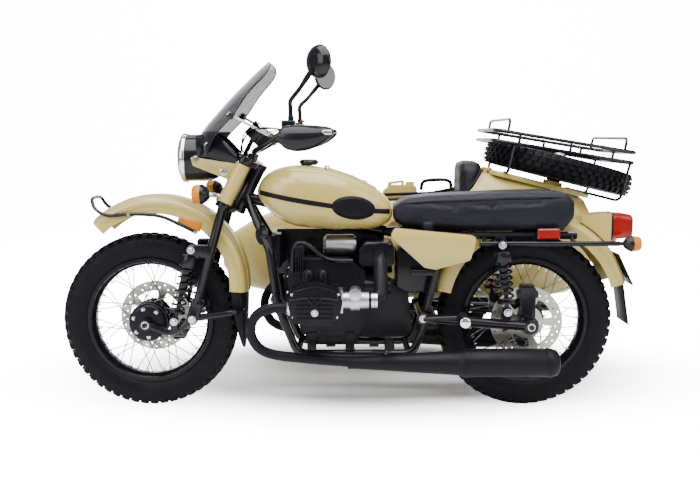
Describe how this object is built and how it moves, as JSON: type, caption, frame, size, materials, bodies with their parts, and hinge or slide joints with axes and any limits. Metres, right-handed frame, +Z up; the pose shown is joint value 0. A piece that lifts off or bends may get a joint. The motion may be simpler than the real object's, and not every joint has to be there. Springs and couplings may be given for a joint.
{
  "type": "sidecar motorcycle",
  "caption": "Touring motorcycle with a leading-link fork, flat-twin engine and a boat-shaped sidecar whose hinged trunk lid carries a spare wheel in a tubular rack.",
  "frame": {"origin": "middle of the bounding box's base, on the ground", "axes": "+X forward, +Y to the rider's left, +Z up; the sidecar is on the -Y side"},
  "size_m": [2.475, 1.67, 1.3995],
  "materials": {
    "tyre": "matt rubber with a knobby tread",
    "rim_black": "gloss black",
    "bright_steel": "bright zinc",
    "black_steel": "semi-gloss black",
    "sand_paint": "gloss sand",
    "black_case": "satin black",
    "bare_alloy": "cast",
    "lamp_shell": "gloss black shell with a bright rim",
    "black_plastic": "grained",
    "black_rubber": "matt",
    "dark_leatherette": "grained, nearly black blue",
    "amber_lens": "clear moulded",
    "red_lens": "clear moulded",
    "smoked_screen": "smoked"
  },
  "bodies": {
    "chassis": {"main_frame": "black_steel", "engine_block": "black_case", "cylinders": "black_case", "valve_covers": "black_case", "throttle_bodies": "bare_alloy", "air_box": "black_case", "alternator": "bare_alloy", "exhaust": "black_steel", "fuel_tank": "sand_paint", "tank_cap": "black_steel", "knee_pads": "black_rubber", "saddle": "dark_leatherette", "side_covers": "sand_paint", "rear_fender": "sand_paint", "rear_mud_flap": "black_rubber", "rear_lights": "red_lens", "swingarm": "black_steel", "rear_shocks": "black_steel", "rear_caliper": "black_steel", "footpegs": "black_steel", "sidecar_frame": "black_steel", "sidecar_body": "sand_paint", "sidecar_seat": "dark_leatherette", "sidecar_fender": "sand_paint", "sidecar_swingarm": "black_steel", "jerry_can": "sand_paint"},
    "steered_fork": {"front_fork": "black_steel", "leading_arm": "black_steel", "front_shocks": "black_steel", "front_fender": "sand_paint", "front_mud_flap": "black_rubber", "bumper_bar": "black_steel", "headlight": "lamp_shell", "fork_cowl": "sand_paint", "windshield": "smoked_screen", "speedometer": "black_plastic", "handlebar": "black_steel", "hand_guards": "black_plastic", "mirrors": "black_plastic", "front_indicators": "amber_lens", "front_caliper": "black_steel"},
    "front_wheel": {"front_tyre": "tyre", "front_wheel_rim": "rim_black", "front_hub": "bright_steel", "front_disc": "bright_steel"},
    "rear_wheel": {"rear_tyre": "tyre", "rear_wheel_rim": "rim_black", "rear_hub": "bright_steel", "rear_disc": "bright_steel"},
    "sidecar_wheel": {"sidecar_tyre": "tyre", "sidecar_wheel_rim": "rim_black", "sidecar_hub": "bright_steel"},
    "trunk_top": {"trunk_lid": "sand_paint", "luggage_rack": "black_steel", "spare_tyre": "tyre", "spare_wheel": "rim_black"},
    "tool_lid": {"tank_lid": "sand_paint"}
  },
  "joints": [
    {"name": "steering", "type": "hinge", "parent": "chassis", "child": "steered_fork", "pos_m": [0.48916, 0.383, 0.88], "axis": [-0.454, 0, 0.891], "range_deg": [-30, 30]},
    {"name": "front_wheel_spin", "type": "hinge", "parent": "steered_fork", "child": "front_wheel", "pos_m": [0.88754, 0.383, 0.35], "axis": [0, 1, 0], "continuous": true},
    {"name": "rear_wheel_spin", "type": "hinge", "parent": "chassis", "child": "rear_wheel", "pos_m": [-0.61246, 0.383, 0.35], "axis": [0, 1, 0], "continuous": true},
    {"name": "sidecar_wheel_spin", "type": "hinge", "parent": "chassis", "child": "sidecar_wheel", "pos_m": [-0.36246, -0.747, 0.35], "axis": [0, 1, 0], "continuous": true},
    {"name": "trunk_hinge", "type": "hinge", "parent": "chassis", "child": "trunk_top", "pos_m": [-0.52846, -0.297, 0.935], "axis": [0, 1, 0], "range_deg": [0, 75]},
    {"name": "tool_lid_hinge", "type": "hinge", "parent": "chassis", "child": "tool_lid", "pos_m": [0.18354, 0.383, 0.962], "axis": [0, 1, 0], "range_deg": [0, 75]}
  ]
}
